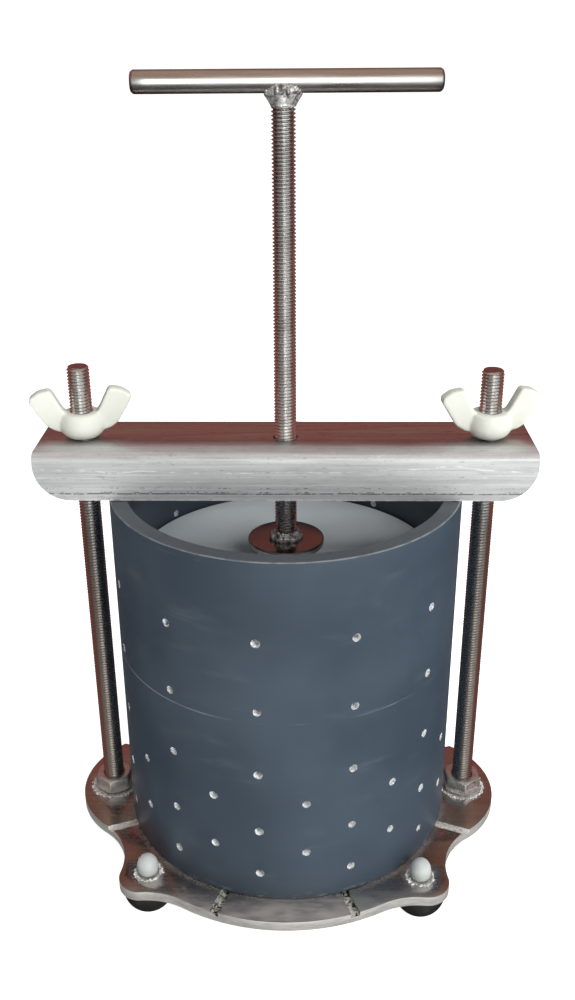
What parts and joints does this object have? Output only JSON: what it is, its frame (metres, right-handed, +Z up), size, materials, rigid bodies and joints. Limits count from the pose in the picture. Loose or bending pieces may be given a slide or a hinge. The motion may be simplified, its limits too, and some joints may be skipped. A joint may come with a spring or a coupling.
{
  "type": "cheese press",
  "caption": "Small screw cheese press: perforated cylinder on a footed base plate, with tie rods, wing nuts, channel crossbar and a tee-handled screw that pushes a follower down.",
  "frame": {"origin": "on the floor, under the axis of the cylinder", "axes": "+Z up along the screw, +X along the crossbar, -Y towards the front"},
  "size_m": [0.2262, 0.1866, 0.3652],
  "materials": {
    "plate_steel": "polished stainless, scratched",
    "brushed_steel": "brushed stainless",
    "thread_steel": "threaded stainless",
    "weld_steel": "lumpy weld bead",
    "grey_pvc": "satin rigid PVC pipe",
    "white_nylon": "satin moulded nylon",
    "white_hdpe": "satin turned board",
    "black_rubber": "matt moulded rubber"
  },
  "bodies": {
    "base": {"base_plate": "plate_steel", "pressing_cylinder": "grey_pvc", "rubber_foot_front_left": "black_rubber", "rubber_foot_front_right": "black_rubber", "rubber_foot_back_right": "black_rubber", "rubber_foot_back_left": "black_rubber", "foot_stud_front_left": "thread_steel", "foot_stud_front_right": "thread_steel", "foot_stud_back_right": "thread_steel", "foot_stud_back_left": "thread_steel", "cap_nut_front_left": "white_nylon", "cap_nut_front_right": "white_nylon", "cap_nut_back_right": "white_nylon", "cap_nut_back_left": "white_nylon", "tie_rod_left": "thread_steel", "tie_rod_right": "thread_steel", "tie_upper_nut_left": "brushed_steel", "tie_upper_nut_right": "brushed_steel", "tie_lower_nut_left": "brushed_steel", "tie_lower_nut_right": "brushed_steel"},
    "bar": {"crossbar": "brushed_steel", "spindle_nut": "brushed_steel"},
    "left_wing_nut": {"wing_nut_left": "white_nylon"},
    "right_wing_nut": {"wing_nut_right": "white_nylon"},
    "follower": {"follower_plate": "white_hdpe"},
    "screw": {"spindle_rod": "thread_steel", "tee_handle": "brushed_steel", "handle_weld": "weld_steel", "foot_disc": "plate_steel", "foot_weld": "weld_steel", "retaining_washer": "brushed_steel", "retaining_nut": "brushed_steel"}
  },
  "joints": [
    {"name": "crossbar_lift", "type": "slide", "parent": "base", "child": "bar", "axis": [0, 0, 1], "range_m": [0, 0.02]},
    {"name": "wing_nut_left_turn", "type": "hinge", "parent": "bar", "child": "left_wing_nut", "pos_m": [-0.0907, 0, 0.2129], "axis": [0, 0, 1], "range_deg": [0, 4801]},
    {"name": "wing_nut_right_turn", "type": "hinge", "parent": "bar", "child": "right_wing_nut", "pos_m": [0.0907, 0, 0.2129], "axis": [0, 0, 1], "range_deg": [0, 4801]},
    {"name": "follower_travel", "type": "slide", "parent": "bar", "child": "follower", "axis": [0, 0, 1], "range_m": [-0.105, 0.03]},
    {"name": "spindle_turn", "type": "hinge", "parent": "follower", "child": "screw", "pos_m": [0, 0, 0.19], "axis": [0, 0, 1], "range_deg": [-25200, 7200]}
  ],
  "couplings": [
    {"joint": "wing_nut_left_turn", "follows": "crossbar_lift", "rad_per_m": 4188.8},
    {"joint": "wing_nut_right_turn", "follows": "crossbar_lift", "rad_per_m": 4188.8},
    {"joint": "follower_travel", "follows": "spindle_turn", "m_per_rad": 0.00023873}
  ]
}
